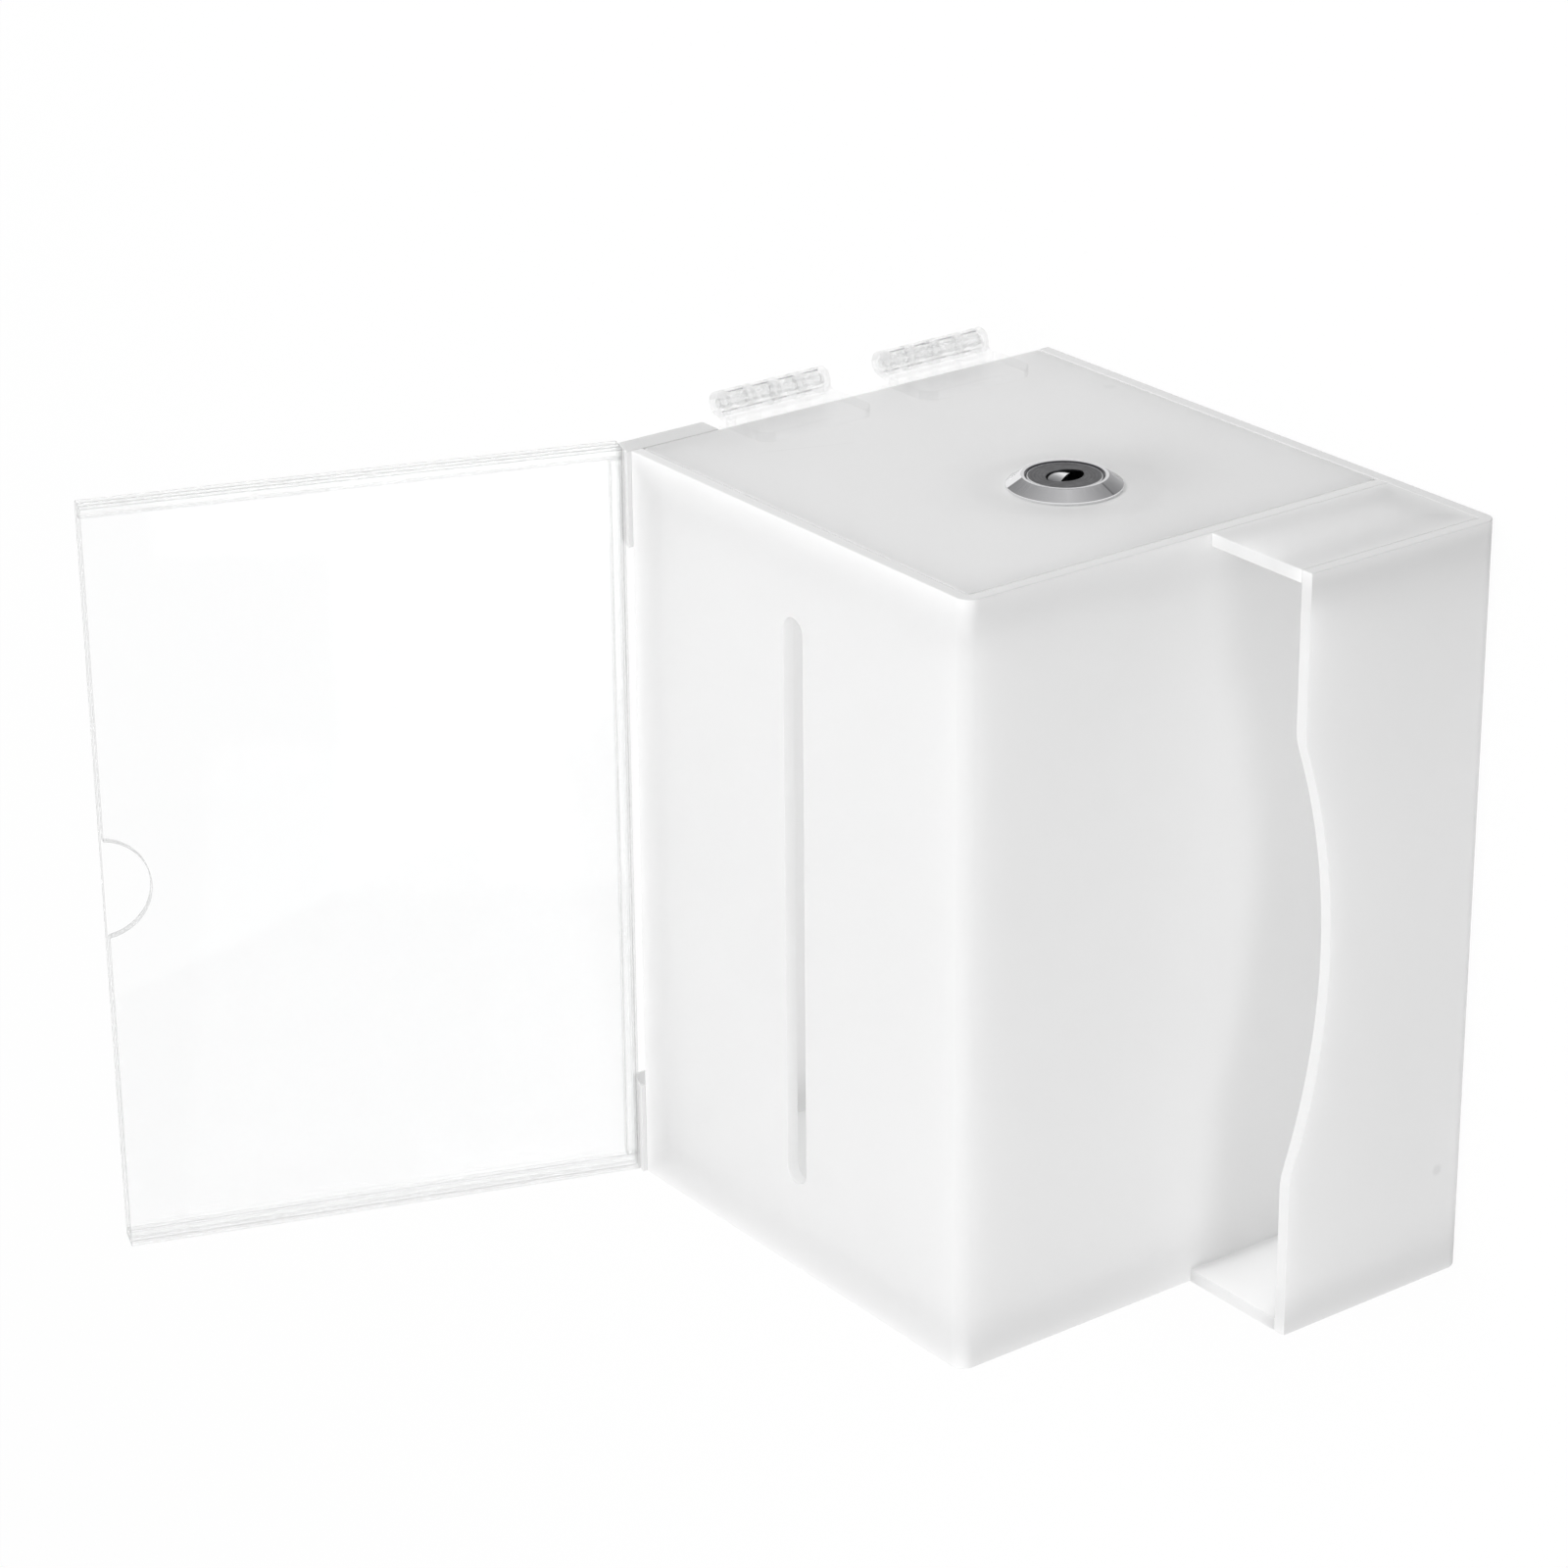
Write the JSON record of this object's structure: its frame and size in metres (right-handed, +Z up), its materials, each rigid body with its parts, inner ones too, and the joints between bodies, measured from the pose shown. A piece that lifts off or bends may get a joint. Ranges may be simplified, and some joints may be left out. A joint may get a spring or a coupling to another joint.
{
  "type": "ballot box",
  "caption": "Tabletop ballot box of white acrylic with a top slot, a locking side door, a front leaflet pocket and a clear leaning sign holder.",
  "frame": {"origin": "middle of the box's underside, leaving out the pocket in front", "axes": "+X towards the lockable door, +Y towards the back with the sign holder, +Z up through the slotted top"},
  "size_m": [0.1642, 0.1738, 0.2066],
  "materials": {
    "opal_acrylic": "opal white acrylic sheet, glossy and slightly translucent",
    "clear_acrylic": "clear polished acrylic sheet",
    "hinge_plastic": "clear moulded acrylic",
    "lock_chrome": "polished chrome plate",
    "lock_plug": "dark satin nickel plug face",
    "lock_steel": "zinc plated steel"
  },
  "bodies": {
    "box": {"top_front_shell": "opal_acrylic", "base_pocket_shell": "opal_acrylic", "side_panel": "opal_acrylic", "back_panel": "opal_acrylic", "strike_block": "clear_acrylic", "pocket_cheek_left": "opal_acrylic", "pocket_cheek_right": "opal_acrylic", "holder_ear_left": "opal_acrylic", "holder_ear_right": "opal_acrylic", "sign_front_sheet": "clear_acrylic", "sign_rear_sheet": "clear_acrylic", "sign_strip_left": "clear_acrylic", "sign_strip_right": "clear_acrylic", "sign_strip_bottom": "clear_acrylic", "hinge_lower_back_leaf": "hinge_plastic", "hinge_lower_pin": "hinge_plastic", "hinge_upper_back_leaf": "hinge_plastic", "hinge_upper_pin": "hinge_plastic"},
    "door": {"door_panel": "opal_acrylic", "hinge_lower_door_leaf": "hinge_plastic", "hinge_upper_door_leaf": "hinge_plastic", "lock_housing": "lock_chrome", "lock_nut": "lock_steel"},
    "lock_core": {"lock_plug": "lock_plug", "lock_shutter": "lock_steel", "lock_cam": "lock_steel", "lock_cam_screw": "lock_steel"}
  },
  "joints": [
    {"name": "door_swing", "type": "hinge", "parent": "box", "child": "door", "pos_m": [0.0827, 0.0557, 0.0485], "axis": [0, 0, 1], "range_deg": [0, 180]},
    {"name": "lock_turn", "type": "hinge", "parent": "door", "child": "lock_core", "pos_m": [0.079, -0.0155, 0.052], "axis": [-1, 0, 0], "range_deg": [0, 90]}
  ]
}
